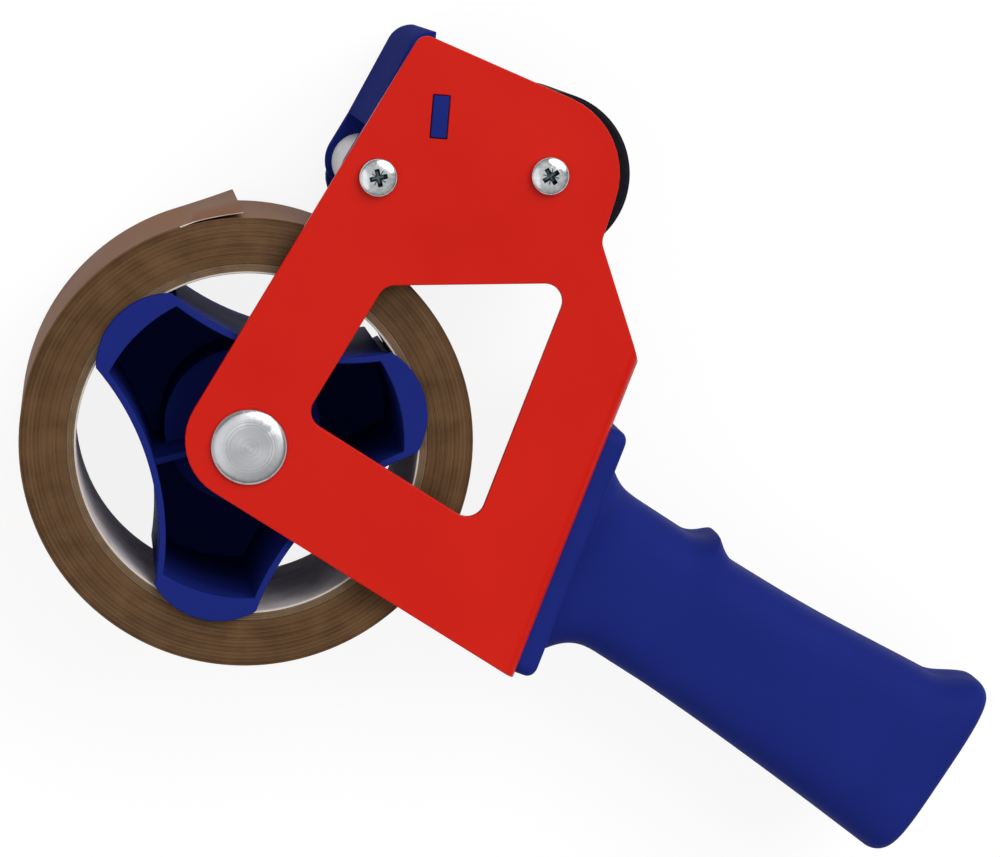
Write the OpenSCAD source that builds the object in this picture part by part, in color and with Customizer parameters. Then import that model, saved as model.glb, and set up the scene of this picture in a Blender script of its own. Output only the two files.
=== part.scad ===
// Hand-held packing tape dispenser lying on its side, in millimetres.
// X runs from the guide axle to the roller axle, Y from the hub up to the head and
// Z from the far cheek to the side plate. The hub axis is X = Y = 0, and the outer
// face of the far cheek is Z = 0.

/* [Tape roll] */
// Outside radius of the wound tape
roll_r = 50.8; // [45:0.1:54]
// Inside radius of the paper core
core_bore_r = 38.1; // [36:0.1:40]
// Wall of the paper core
core_wall = 2.2; // [1.5:0.1:4]
// Width of the tape
tape_w = 48; // [38:0.5:50]
// Thickness that the lifted end of the tape is drawn with
tail_t = 0.4; // [0.3:0.05:0.8]
// How far the end of the tape stands off the roll
tail_lift = 2; // [1:0.1:3]

/* [Hub] */
// Play between the hub's ribs and the core
core_play = 0.2; // [0.1:0.05:0.6]
// Height of the lip that stops the core, outside the core's bore
lip_h = 2.8; // [1.5:0.1:3.2]
// Thickness of that lip
lip_t = 2; // [1.5:0.1:3]
// Wall thickness of the hub
hub_wall = 1.5; // [1.2:0.1:2.4]
// Radial height of the ribs that the core sits on
hub_rib_h = 1.6; // [1:0.1:2.2]
// Width of those ribs
hub_rib_w = 2.4; // [1.6:0.1:4]
// Radius of a lobe's rounded end
lobe_r = 16.5; // [15.5:0.1:18]
// Half of the angle that one lobe takes at its rim
lobe_half_angle = 18; // [15:0.5:22]
// Least distance from the hub axis to the hollow side between two lobes
waist_r = 22.5; // [21.5:0.1:25]
// Direction of the first lobe from X
lobe_turn = 14; // [0:1:60]
// How far the hub reaches past the far edge of the tape
hub_past_tape = 4; // [2:0.1:4.5]
// Outside radius of the boss round the bolt
boss_r = 8; // [7:0.1:10]

/* [Brake] */
// Radius of the hub bolt
bolt_r = 4; // [3:0.1:5]
// Radius of the bolt's low head
bolt_head_r = 8.5; // [7:0.1:10]
// Height of the bolt's low head
bolt_head_h = 2.2; // [1.5:0.1:3]
// Height of the nut that clamps the bolt
nut_h = 3.6; // [3:0.1:4]
// Width of that nut across its flats
nut_flats = 13; // [12:0.1:14]
// Radius of the three washers
washer_r = 9.5; // [8.5:0.1:11]
// Thickness of the washers
washer_t = 1; // [0.8:0.1:1.5]
// Radius of the recess for the knob
recess_r = 16.5; // [16:0.1:17.5]
// Radius of the knob over its grips
knob_r = 13.5; // [12:0.1:14.5]
// Height of the knob
knob_h = 9; // [7:0.1:10]
// Depth of the knob's face below the hub's far end
knob_inset = 1; // [0.5:0.1:2]
// Free length of the brake spring as fitted
spring_len = 9.6; // [9:0.1:12]
// Mean radius of the brake spring
spring_r = 6.2; // [5.6:0.1:8]
// Wire radius of the brake spring
wire_r = 0.7; // [0.4:0.05:0.8]
// Turns of the brake spring
spring_turns = 3; // [2:0.5:3.5]

/* [Head] */
// Guide axle, sideways from the hub axis
guide_x = 29; // [25:0.1:31]
// Both head axles, up from the hub axis
head_rise = 59.5; // [58:0.1:66]
// Distance between the two head axles
axle_gap = 38.2; // [36:0.1:44]
// Clear width between the side plate and the far cheek
head_w = 53; // [52:0.1:58]
// Thickness of the far cheek
cheek_t = 4; // [3.6:0.1:5]
// Radius of the pressure roller
roller_r = 18.5; // [17:0.1:19]
// Thickness of the rubber on the pressure roller
rubber_t = 3.4; // [2.5:0.1:5]
// Radius of the roller axle
roller_axle_r = 4; // [3.5:0.1:5]
// Radius of the guide roller
guide_r = 6.7; // [5.5:0.1:7]
// Radius of the guide axle
guide_axle_r = 3.2; // [3:0.1:3.8]
// Radius of the rounded end of the far cheek and of the guard's ears
ear_r = 8; // [7.5:0.1:8.1]
// Thickness of the guard's ears
ear_t = 4; // [3:0.1:6]
// Wall of the blade guard
guard_wall = 1.8; // [1.4:0.1:2]
// Radius of the guard's rounded end over the blade
guard_nose_r = 6.2; // [5.8:0.1:6.4]

/* [Blade] */
// Length of the blade
blade_len = 50; // [44:0.5:51]
// Width of the blade without its teeth
blade_w = 11; // [9:0.5:12]
// Thickness of the blade
blade_t = 0.7; // [0.5:0.05:1]
// Number of teeth
teeth = 20; // [12:1:26]
// Height of a tooth
tooth_h = 1.9; // [1:0.1:2]
// Thickness of the web that carries the blade
web_t = 3.6; // [3:0.1:4]
// Length of the web's tab that shows in the plate's slot
tab_len = 9.4; // [7:0.1:11]

/* [Side frame] */
// Thickness of the steel sheet
sheet_t = 1.5; // [1:0.1:1.8]
// Outside radius of the fold
fold_r = 3; // [2.5:0.1:4]
// Upper corner of the fold, sideways from the hub axis
fold_x = 87.5; // [86:0.1:92]
// Upper corner of the fold, up from the hub axis
fold_y = 17.6; // [14:0.1:20]
// Length of the fold
fold_len = 77.3; // [75:0.1:84]
// Lean of the fold from Y
fold_lean = 21.4; // [18:0.1:24]
// Depth of the cross wall from the plate's outer face
wall_depth = 53.5; // [50:0.1:55]
// Width of the arm between the window and the lower edge
arm_w = 25; // [22:0.1:28]
// Width of the strip between the window and the fold
fold_strip = 21; // [18:0.1:24]
// Width of the strip between the window and the front edge
front_strip = 22; // [20:0.1:25]
// Distance from the head axles down to the window
window_drop = 24; // [22:0.1:30]
// Corner radius of the window
window_r = 4; // [2:0.1:6]

/* [Handle] */
// Thickness of the base flange
flange_t = 5; // [4:0.1:7]
// Length of the base flange along the fold
flange_len = 60; // [58:0.1:62]
// Width of the base flange across the gun
flange_w = 50; // [46:0.1:51]
// Lean of the grip down from X
grip_lean = 33.7; // [30:0.1:38]
// Length of the grip from the cross wall to the butt
grip_len = 109.5; // [100:0.5:125]
// Width of the grip at its neck
neck_w = 35; // [33:0.1:37]
// Width of the grip at its butt, without the lip
butt_w = 43.5; // [38:0.1:46]
// Thickness of the grip across the gun
grip_t = 30; // [26:0.1:34]
// Height of the finger ridge
ridge_h = 3.7; // [2:0.1:5]
// Distance of the finger ridge from the cross wall
ridge_at = 33.4; // [32:0.1:40]
// Depth of the hollow for the fingers below the ridge
finger_hollow = 0.4; // [0:0.1:2]
// Height of the lip at the butt
lip_rise = 4.7; // [2:0.1:6]

/* [Screws] */
// Shank radius of the head screws
head_screw_r = 2; // [1.6:0.1:2.2]
// Head radius of the head screws
pan_r = 4.3; // [3.8:0.1:4.6]
// Head height of the head screws
pan_h = 2.2; // [1.8:0.1:2.4]
// Thread length of the head screws in the axles
thread_len = 9; // [6:0.5:14]
// Shank radius of the handle screws
handle_screw_r = 2.1; // [1.8:0.1:2.5]
// Thread length of the handle screws in the handle
handle_thread = 13; // [9:0.5:14]
// Shank radius of the blade screws
blade_screw_r = 1.4; // [1.2:0.1:1.6]
// Head radius of the blade screws
blade_head_r = 2.6; // [2.2:0.1:3]

/* [Clearances] */
// Radial clearance of everything that turns on an axle
run_fit = 0.06; // [0.03:0.01:0.1]
// Radial clearance of a screw in its tapped hole
thread_fit = 0.05; // [0.02:0.01:0.1]
// Radial clearance of a screw in a drilled hole
drill_fit = 0.25; // [0.1:0.05:0.4]
// Gap between a turning piece and the face beside it
end_gap = 0.4; // [0.3:0.05:0.6]
// Gap round the tab in the plate's slot
tab_gap = 0.15; // [0.1:0.05:0.3]
// Gap between the hub's lip and the side plate
lip_gap = 1.5; // [1:0.1:2]
// Gap between the knob and the washer on it
seat_gap = 0.3; // [0.3:0.05:0.5]
// Depth of the far screw heads below the far cheek's face
head_sink = 0.1; // [0.05:0.05:0.3]
// Radial gap between the core and the first turn of tape
wind_gap = 0.02; // [0.01:0.01:0.05]

/* [Hidden] */
$fn = 64;

red = "#c32a17";
blue = "#1d2b78";
zinc = "#c9cccf";
cut = 1;

// Levels along Z
plate_in = cheek_t + head_w;
plate_out = plate_in + sheet_t;
lip_front = plate_in - lip_gap;
lip_back = lip_front - lip_t;
tape_near = lip_back;
tape_far = tape_near - tape_w;
hub_far = tape_far - hub_past_tape;
mid_z = cheek_t + head_w / 2;

// Places in the plane of the plate
guide_axle_at = [guide_x, head_rise];
roller_axle_at = guide_axle_at + [axle_gap, 0];
tip_corner = [-19.1, -2.8];
tip_r = 13.8;
cutter_offset = [9.9, 31.7];
cutter_corner = guide_axle_at + cutter_offset;
cutter_r = 3;
nose_offset = [20, 10.4];
nose_corner = roller_axle_at + nose_offset;
nose_r = 18.3;
throat_offset = [11.7, -14.9];
throat_corner = roller_axle_at + throat_offset;
throat_r = 4;
fold_top = [fold_x, fold_y];
fold_dir = [-sin(fold_lean), -cos(fold_lean)];
fold_out = [cos(fold_lean), -sin(fold_lean)];
fold_end = fold_top + fold_len * fold_dir;
fold_past = 2 * fold_r;
plate_corners = [concat(tip_corner, tip_r), concat(fold_end, 0), concat(fold_top, 0),
                 concat(throat_corner, throat_r), concat(nose_corner, nose_r),
                 concat(cutter_corner, cutter_r)];

function unit(v) = v / norm(v);
function left_of(v) = [-v[1], v[0]];
function spot(c) = [c[0], c[1]];
function turned(a) = [cos(a), sin(a)];
function half_turn(a) = a > 180 ? a - 360 : a < -180 ? a + 360 : a;

// Crossing of the line through p along u with the line through q along v
function crossing(p, u, q, v) =
    let (d = q - p, k = (d[0] * v[1] - d[1] * v[0]) / (u[0] * v[1] - u[1] * v[0]))
    p + k * u;

// Arc of radius r that rounds corner b between its neighbours a and c
function corner_arc(a, b, c, r, steps = 10) =
    let (u = unit(a - b), v = unit(c - b), half = acos(u * v) / 2,
         centre = b + unit(u + v) * r / sin(half), reach = r / tan(half),
         from = b + u * reach - centre, to = b + v * reach - centre,
         start = atan2(from[1], from[0]),
         sweep = half_turn(atan2(to[1], to[0]) - start))
    [for (i = [0:steps]) centre + r * turned(start + sweep * i / steps)];

// Outline with round corners from a list of [x, y, radius]; radius 0 leaves a corner sharp
function rounded(corners) =
    let (n = len(corners))
    [for (i = [0:n - 1], p = corners[i][2] == 0 ? [spot(corners[i])]
                             : corner_arc(spot(corners[(i + n - 1) % n]), spot(corners[i]),
                                          spot(corners[(i + 1) % n]), corners[i][2])) p];

// A closed tube through rings that run anticlockwise, seen from its far end
module loft(rings) {
    sides = len(rings[0]);
    last = len(rings) - 1;
    points = [for (ring = rings, p = ring) p];
    walls = [for (j = [0:last - 1], i = [0:sides - 1])
             let (k = (i + 1) % sides, a = j * sides, b = (j + 1) * sides)
             each [[a + i, b + k, a + k], [a + i, b + i, b + k]]];
    foot = [[for (i = [0:sides - 1]) i]];
    head = [[for (i = [sides - 1:-1:0]) last * sides + i]];
    polyhedron(points, concat(foot, walls, head));
}

module at(p, z = 0) {
    translate([p[0], p[1], z]) children();
}

module along_fold() {
    at(fold_top) rotate(270 - fold_lean) children();
}

// Side plate, fold and cross wall, from one steel sheet
front_dir = unit(cutter_corner - tip_corner);
arm_dir = unit(fold_end - tip_corner);
front_line = tip_corner - front_strip * left_of(front_dir);
arm_line = tip_corner + arm_w * left_of(arm_dir);
fold_line = fold_top - fold_strip * fold_out;
window_top = [0, head_rise - window_drop];
window_corners = [concat(crossing(front_line, front_dir, arm_line, arm_dir), window_r),
                  concat(crossing(arm_line, arm_dir, fold_line, fold_dir), window_r),
                  concat(crossing(fold_line, fold_dir, window_top, [1, 0]), window_r),
                  concat(crossing(window_top, [1, 0], front_line, front_dir), window_r)];
wall_corner_r = 7;
web_lean = 5;
web_offset = [13.8, 13.2];
web_at = guide_axle_at + web_offset;
flange_margin = 0.8;
flange_from = fold_len - flange_len - flange_margin;
handle_screw_from = 19.5;
handle_screw_pitch = 26;
handle_screw_spread = 18;

module at_handle_screws() {
    along_fold()
        for (i = [0, 1], k = [-0.5, 0.5])
            translate([flange_from + handle_screw_from + i * handle_screw_pitch, 0,
                       mid_z + k * handle_screw_spread])
                rotate([-90, 0, 0]) children();
}

module side_frame() {
    color(red) difference() {
        union() {
            translate([0, 0, plate_in]) linear_extrude(sheet_t) difference() {
                polygon(rounded(plate_corners));
                polygon(rounded(window_corners));
                at(web_at) rotate(-web_lean)
                    square([web_t + 2 * tab_gap, tab_len + 2 * tab_gap], center = true);
                at(guide_axle_at) circle(head_screw_r + drill_fit);
                at(roller_axle_at) circle(head_screw_r + drill_fit);
                circle(bolt_r + drill_fit);
                along_fold() translate([-fold_past, -fold_r])
                    square([fold_len + 2 * fold_past, 2 * fold_r]);
            }
            intersection() {
                along_fold() {
                    translate([-fold_past, -fold_r, plate_out - fold_r]) rotate([90, 0, 90])
                        linear_extrude(fold_len + 2 * fold_past) intersection() {
                            difference() {
                                circle(fold_r);
                                circle(fold_r - sheet_t);
                            }
                            square(fold_r);
                        }
                    rotate([90, 0, 0]) linear_extrude(sheet_t)
                        polygon(concat([[0, plate_out - fold_r], [fold_len, plate_out - fold_r]],
                                       wall_foot()));
                }
                linear_extrude(plate_out + cut) polygon(rounded(plate_corners));
            }
        }
        at_handle_screws() translate([0, 0, -sheet_t - cut])
            cylinder(r = handle_screw_r + drill_fit, h = sheet_t + 2 * cut);
    }
}

// Rounded far edge of the cross wall
function wall_foot() =
    let (foot = plate_out - wall_depth, top = plate_out - fold_r)
    concat(corner_arc([fold_len, top], [fold_len, foot], [0, foot], wall_corner_r),
           corner_arc([fold_len, foot], [0, foot], [0, top], wall_corner_r));

// Handle: a lofted grip on a base flange
flange_corner_r = 3;
grip_axis = [cos(grip_lean), -sin(grip_lean)];
grip_offset = 0.3;
grip_root = fold_top + (flange_from + flange_len / 2) * fold_dir + grip_offset * left_of(grip_axis);
root_from = -8;
root_to = 24;
root_steps = 9;
root_fillet = 6;
// Shares of the root's fillet on the finger side and across the gun
finger_fillet = 0.4;
side_fillet = 0.7;
// On the palm side the fillet reaches further out, up to a limit
palm_reach = 8;
palm_limit = 10;
taper_from = 36;
taper_to = 105;
taper_power = 1.4;
ridge_rise = 7;
ridge_fall = 8;
ridge_steps = 5;
lip_from = grip_len - 14;
lip_reach = 9.5;
lip_steps = 6;
waist_steps = 6;
butt_round = 4.5;
butt_inset = 0.8 * butt_round;
sides = 40;
swell = 3.6;

function clamped(t) = max(0, min(1, t));
function smooth(t) = let (k = clamped(t)) k * k * (3 - 2 * k);
function bump(t) = abs(t) >= 1 ? 0 : (1 + cos(180 * t)) / 2;

// Half widths of the grip on its finger side, palm side and flanks, at a distance from the wall
function taper(a) =
    let (t = clamped((a - taper_from) / (taper_to - taper_from)))
    (neck_w + (butt_w - neck_w) * pow(t, taper_power)) / 2;
function root_flare(a) = root_fillet * pow(max(0, 1 - (a - flange_t) / (2 * root_fillet)), 3);
function ridge(a) =
    a < ridge_at ? bump((a - ridge_at) / ridge_rise)
    : pow(max(0, 1 - (a - ridge_at) / ridge_fall), 2);
function butt_lip(a) = smooth((a - lip_from) / lip_reach);
function hollow(a) = finger_hollow * bump((2 * a - ridge_at - lip_from) / (lip_from - ridge_at));
function finger_side(a) =
    taper(a) + finger_fillet * root_flare(a) + ridge_h * ridge(a) - hollow(a)
    + lip_rise * butt_lip(a);
function palm_side(a) = taper(a) + min(palm_limit, root_flare(a - palm_reach));
function half_thick(a) = grip_t / 2 + side_fillet * root_flare(max(a, flange_t));

// One section of the grip, drawn in by the inset
function section(a, inset = 0) =
    let (finger = finger_side(a) - inset, palm = palm_side(a) - inset, thick = half_thick(a) - inset)
    [for (i = [0:sides - 1])
     let (t = 360 * i / sides, c = cos(t), s = sin(t),
          y = sign(c) * pow(abs(c), 2 / swell), z = sign(s) * pow(abs(s), 2 / swell))
     [a, c > 0 ? y * finger : y * palm, z * thick]];

ridge_from = ridge_at - ridge_rise;
ridge_to = ridge_at + ridge_fall;
root_end = min(root_to, ridge_from);
grip_steps = concat([for (i = [0:root_steps - 1]) root_from + (root_end - root_from) * i / root_steps],
                    [for (i = [0:ridge_steps]) ridge_from + ridge_rise * i / ridge_steps],
                    [for (i = [1:ridge_steps]) ridge_at + ridge_fall * i / ridge_steps],
                    [for (i = [1:waist_steps - 1]) ridge_to + (lip_from - ridge_to) * i / waist_steps],
                    [for (i = [0:lip_steps]) lip_from + lip_reach * i / lip_steps]);
butt_from = grip_len - butt_round;

// Outline of the flange, rounded on the grip's side
function flange_edge() =
    let (low = [flange_len, flange_t], high = [0, flange_t])
    concat([[0, 0], [flange_len, 0]], corner_arc([flange_len, 0], low, high, flange_corner_r),
           corner_arc(low, high, [0, 0], flange_corner_r));

module in_grip() {
    at(grip_root, mid_z) rotate(-grip_lean) children();
}

module handle() {
    color(blue) difference() {
        union() {
            intersection() {
                in_grip() loft(concat([for (a = grip_steps) section(a)],
                                      [for (t = [0:30:90]) section(butt_from + butt_round * sin(t),
                                                                   butt_inset * (1 - cos(t)))]));
                along_fold() translate([-grip_len, flange_t / 2, mid_z - flange_w / 2])
                    cube([3 * grip_len, 2 * grip_len, flange_w]);
            }
            along_fold() translate([flange_from, 0, mid_z - flange_w / 2]) linear_extrude(flange_w)
                polygon(flange_edge());
        }
        at_handle_screws() translate([0, 0, -cut])
            cylinder(r = handle_screw_r + thread_fit, h = handle_thread + 2 * cut);
    }
}

// Pan-head screw with a cross recess; the underside of its head is at Z = 0
head_round = 0.7;
cross_len = 1.1;
cross_w = 0.26;
cross_depth = 0.6;

module pan_screw(shank_r, shank_len, head_r, head_h) {
    edge = head_round * head_h;
    difference() {
        union() {
            translate([0, 0, -shank_len]) cylinder(r = shank_r, h = shank_len + head_h - edge);
            rotate_extrude() intersection() {
                square([head_r, head_h]);
                union() {
                    square([head_r, head_h - edge]);
                    square([head_r - edge, head_h]);
                    translate([head_r - edge, head_h - edge]) circle(edge);
                }
            }
        }
        for (size = [[cross_len, cross_w], [cross_w, cross_len]])
            translate([-size[0] * head_r / 2, -size[1] * head_r / 2, head_h * (1 - cross_depth)])
                cube([size[0] * head_r, size[1] * head_r, head_h]);
    }
}

module handle_screws() {
    color(zinc) at_handle_screws() translate([0, 0, -sheet_t]) rotate([180, 0, 0])
        pan_screw(handle_screw_r, sheet_t + handle_thread, pan_r, pan_h);
}

// Far cheek with the web and tab that carry the blade
cheek_r = 14;
cheek_front = [-12.4, -11.2];
cheek_back = [16.5, -15];
cheek_nose = [16.6, 9.4];
cheek_top = [9.3, 30.7];
cheek_corners = [concat(guide_axle_at + cheek_front, ear_r),
                 concat(roller_axle_at + cheek_back, cheek_r),
                 concat(roller_axle_at + cheek_nose, cheek_r),
                 concat(guide_axle_at + cheek_top, cutter_r)];
web_bottom = -11.5;
web_top = 12.2;

module in_web() {
    at(web_at) rotate(-web_lean) children();
}

blade_rise = 1;
blade_low = web_top - blade_w + blade_rise;
blade_screw_y = 0.42 * blade_w;
blade_screw_pitch = 32;
blade_screw_z = [mid_z - blade_screw_pitch / 2, mid_z + blade_screw_pitch / 2];
blade_head_h = 1.4;
blade_screw_short = 0.5;

module at_blade_screws() {
    in_web()
        for (z = blade_screw_z)
            translate([-web_t / 2 - blade_t, blade_low + blade_screw_y, z]) rotate([0, -90, 0]) children();
}

far_head_top = pan_h + head_sink;

module head_cheek() {
    color(blue) difference() {
        union() {
            linear_extrude(cheek_t) polygon(rounded(cheek_corners));
            in_web() translate([-web_t / 2, web_bottom, 0])
                cube([web_t, web_top - web_bottom, plate_in - end_gap]);
            in_web() translate([-web_t / 2, -tab_len / 2, 0]) cube([web_t, tab_len, plate_out]);
        }
        for (p = [guide_axle_at, roller_axle_at]) {
            at(p, -cut) cylinder(r = head_screw_r + drill_fit, h = cheek_t + 2 * cut);
            at(p, -cut) cylinder(r = pan_r + drill_fit, h = far_head_top + cut);
        }
        at_blade_screws() translate([0, 0, -web_t - blade_t - cut])
            cylinder(r = blade_screw_r + thread_fit, h = web_t + blade_t + 2 * cut);
    }
}

// Toothed blade on the front face of the web
blade_from = mid_z - blade_len / 2;
tooth_pitch = blade_len / teeth;

function tooth(i) = [[i * tooth_pitch, blade_w], [(i + 0.5) * tooth_pitch, blade_w + tooth_h]];

module blade() {
    color(zinc) in_web() translate([-web_t / 2, blade_low, blade_from]) difference() {
        rotate([0, -90, 0]) linear_extrude(blade_t)
            polygon(concat([[0, 0]], [for (i = [0:teeth - 1], p = tooth(i)) p],
                           [[blade_len, blade_w], [blade_len, 0]]));
        for (z = blade_screw_z)
            translate([cut, blade_screw_y, z - blade_from]) rotate([0, -90, 0])
                cylinder(r = blade_screw_r + drill_fit, h = blade_t + 2 * cut);
    }
}

module blade_screws() {
    color(zinc) at_blade_screws()
        pan_screw(blade_screw_r, web_t + blade_t - blade_screw_short, blade_head_r, blade_head_h);
}

// Guard: two ears on the guide axle, a plate along the head's front edge and a nose over the teeth
front_normal = left_of(front_dir);
nose_inset = [2.7, -6.1];
guard_nose = cutter_corner + nose_inset;
guard_foot = guide_axle_at + ear_r * front_normal;
guard_start = 8.5;
guard_nose_end = 84;
guard_lap = 8;
nose_steps = 14;
guard_near = plate_in - end_gap;
guard_far = cheek_t + end_gap;

// One face of the guard's wall, from the ear round the nose, with radius r at the nose
guard_side = atan2(front_normal[1], front_normal[0]);
function guard_rim(r) =
    concat([guard_foot + guard_start * front_dir - (guard_nose_r - r) * front_normal],
           [for (i = [0:nose_steps])
            guard_nose + r * turned(guard_side - (guard_side - guard_nose_end) * i / nose_steps)]);

module guard_wall_shape() {
    outer = guard_rim(guard_nose_r);
    inner = guard_rim(guard_nose_r - guard_wall);
    polygon(concat(outer, [for (i = [len(inner) - 1:-1:0]) inner[i]]));
}

module guard_ear_shape() {
    difference() {
        union() {
            at(guide_axle_at) circle(ear_r);
            polygon([guide_axle_at, guard_foot, guard_foot + (guard_start + guard_lap) * front_dir,
                     guard_foot + (guard_start + guard_lap) * front_dir - guard_wall * front_normal,
                     guide_axle_at + ear_r * front_dir]);
        }
        at(guide_axle_at) circle(guide_axle_r + run_fit);
    }
}

module blade_guard() {
    color(blue) {
        translate([0, 0, guard_far]) linear_extrude(guard_near - guard_far) guard_wall_shape();
        translate([0, 0, guard_far]) linear_extrude(ear_t) guard_ear_shape();
        translate([0, 0, guard_near - ear_t]) linear_extrude(ear_t) guard_ear_shape();
    }
}

// Axles, tapped at both ends
module axle(r) {
    difference() {
        translate([0, 0, cheek_t]) cylinder(r = r, h = head_w);
        for (z = [cheek_t - cut, plate_in - thread_len - cut])
            translate([0, 0, z]) cylinder(r = head_screw_r + thread_fit, h = thread_len + 2 * cut);
    }
}

module guide_axle() {
    color(zinc) at(guide_axle_at) axle(guide_axle_r);
}

module roller_axle() {
    color(zinc) at(roller_axle_at) axle(roller_axle_r);
}

module guide_roller() {
    low = guard_far + ear_t + end_gap;
    high = guard_near - ear_t - end_gap;
    color("#d8d6da") at(guide_axle_at, low) difference() {
        cylinder(r = guide_r, h = high - low);
        translate([0, 0, -cut]) cylinder(r = guide_axle_r + run_fit, h = high - low + 2 * cut);
    }
}

// Pressure roller: a moulded spool with a rubber tyre
roller_low = cheek_t + end_gap;
roller_len = head_w - 2 * end_gap;
rim_r = roller_r - rubber_t;
rim_t = 2.2;
roller_boss_r = 7;
roller_web_t = 3;
lap = 0.5;
rim_setback = 1;
rim_len = roller_len - 2 * rim_setback;
tyre_edge = 0.8;

module roller_core() {
    color("#3a3f46") at(roller_axle_at, roller_low) rotate_extrude() {
        translate([roller_axle_r + run_fit, 0])
            square([roller_boss_r - roller_axle_r - run_fit, roller_len]);
        translate([rim_r - rim_t, rim_setback]) square([rim_t, rim_len]);
        translate([roller_boss_r - lap, (roller_len - roller_web_t) / 2])
            square([rim_r - rim_t - roller_boss_r + 2 * lap, roller_web_t]);
    }
}

module roller_sleeve() {
    color("#14161c") at(roller_axle_at, roller_low + rim_setback) rotate_extrude()
        polygon([[rim_r, 0], [roller_r - tyre_edge, 0], [roller_r, tyre_edge],
                 [roller_r, rim_len - tyre_edge], [roller_r - tyre_edge, rim_len], [rim_r, rim_len]]);
}

module head_screws_near() {
    color(zinc)
        for (p = [guide_axle_at, roller_axle_at])
            at(p, plate_out) pan_screw(head_screw_r, sheet_t + thread_len, pan_r, pan_h);
}

module head_screws_far() {
    color(zinc)
        for (p = [guide_axle_at, roller_axle_at])
            at(p, far_head_top) rotate([180, 0, 0])
                pan_screw(head_screw_r, cheek_t - far_head_top + thread_len, pan_r, pan_h);
}

// Hub bolt, its nut and the washers of the brake
boss_near = plate_in - nut_h - washer_t - end_gap;
knob_low = hub_far + knob_inset;
knob_high = knob_low + knob_h;
seat_low = knob_high + seat_gap;
spring_low = seat_low + washer_t;
pressure_low = spring_low + spring_len;
recess_floor = pressure_low + washer_t + end_gap;
knob_face_t = 2;
bolt_short = 2;
thread_end = knob_low + knob_face_t + bolt_short;
bolt_rim_h = 0.4 * bolt_head_h;
bolt_dome_r = 0.85 * bolt_head_r;
bolt_dome_h = 0.75 * bolt_head_h;
bolt_flat_r = 0.5 * bolt_head_r;

module hub_bolt() {
    color(zinc) {
        translate([0, 0, thread_end]) cylinder(r = bolt_r, h = plate_out - thread_end);
        translate([0, 0, plate_out]) rotate_extrude()
            polygon([[0, 0], [bolt_head_r, 0], [bolt_head_r, bolt_rim_h], [bolt_dome_r, bolt_dome_h],
                     [bolt_flat_r, bolt_head_h], [0, bolt_head_h]]);
    }
}

module hub_nut() {
    color(zinc) translate([0, 0, plate_in - nut_h]) difference() {
        cylinder(r = nut_flats / sqrt(3), h = nut_h, $fn = 6);
        translate([0, 0, -cut]) cylinder(r = bolt_r + thread_fit, h = nut_h + 2 * cut);
    }
}

module washer(z) {
    color(zinc) translate([0, 0, z]) difference() {
        cylinder(r = washer_r, h = washer_t);
        translate([0, 0, -cut]) cylinder(r = bolt_r + run_fit, h = washer_t + 2 * cut);
    }
}

module friction_washer() {
    washer(plate_in - nut_h - washer_t);
}

module pressure_washer() {
    washer(pressure_low);
}

module spring_washer() {
    washer(seat_low);
}

// Brake spring: one wire wound round the bolt
ring_sides = 6;
rings_per_turn = 12;
spring_rise = spring_len - 2 * wire_r;
spring_rings = spring_turns * rings_per_turn;
function coil_point(i) =
    concat(spring_r * turned(360 * i / rings_per_turn), wire_r + spring_rise * i / spring_rings);
function wire_ring(i) =
    let (c = coil_point(i), out = concat(turned(360 * i / rings_per_turn), 0))
    [for (k = [ring_sides - 1:-1:0])
     c + wire_r * (cos(360 * k / ring_sides) * out + sin(360 * k / ring_sides) * [0, 0, 1])];
turn_gap = min([for (i = [0:spring_rings - rings_per_turn])
                norm(coil_point(i + rings_per_turn) - coil_point(i))]) - 2 * wire_r;
echo(str("least gap between turns of the brake spring: ", turn_gap, " mm"));

module brake_spring() {
    color(zinc) translate([0, 0, spring_low])
        loft([for (i = [0:spring_rings]) wire_ring(i)]);
}

// Tension knob: a cap with finger scallops, tapped from its inner end
scallops = 8;
scallop_r = 3;
scallop_out = 0.45 * scallop_r;
knob_edge = 1.2;
knob_shoulder = 2.5;

module tension_knob() {
    color(blue) translate([0, 0, knob_low]) difference() {
        rotate_extrude()
            polygon([[0, 0], [knob_r - knob_edge, 0], [knob_r, knob_edge],
                     [knob_r, knob_h - knob_shoulder], [knob_r - knob_shoulder, knob_h], [0, knob_h]]);
        for (i = [0:scallops - 1])
            rotate(360 * i / scallops) translate([knob_r + scallop_out, 0, -cut])
                cylinder(r = scallop_r, h = knob_h + 2 * cut);
        translate([0, 0, knob_face_t]) cylinder(r = bolt_r + run_fit, h = knob_h);
    }
}

// Hub: a three-lobed moulding, open towards the side plate
rib_top_r = core_bore_r - core_play;
hub_skin_r = rib_top_r - hub_rib_h;
hub_lip_r = core_bore_r + lip_h;
lobe_angles = [for (i = [0:2]) lobe_turn + 120 * i];
// The hollow side between two lobes is one arc through the waist and the lobe's corner
corner_turn = 60 - lobe_half_angle;
waist_far = (pow(rib_top_r, 2) - pow(waist_r, 2)) / (2 * (rib_top_r * cos(corner_turn) - waist_r));
waist_arc_r = waist_far - waist_r;
floor_t = 2.5;
rib_turn = lobe_half_angle - 6;
lobe_at = hub_lip_r - lobe_r;
middle_r = waist_r + 5;
spoke_drop = 8;

// What is left of a shape between the hollow sides
module between_waists(inset = 0) {
    difference() {
        children();
        for (a = lobe_angles)
            rotate(a + 60) translate([waist_far, 0]) circle(waist_arc_r + inset, $fn = 128);
    }
}

// Outline of the three lobes, cut off at radius r
module lobes(r) {
    between_waists() intersection() {
        circle(r, $fn = 128);
        union() {
            circle(middle_r);
            for (a = lobe_angles) rotate(a) translate([lobe_at, 0]) circle(lobe_r);
        }
    }
}

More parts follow.
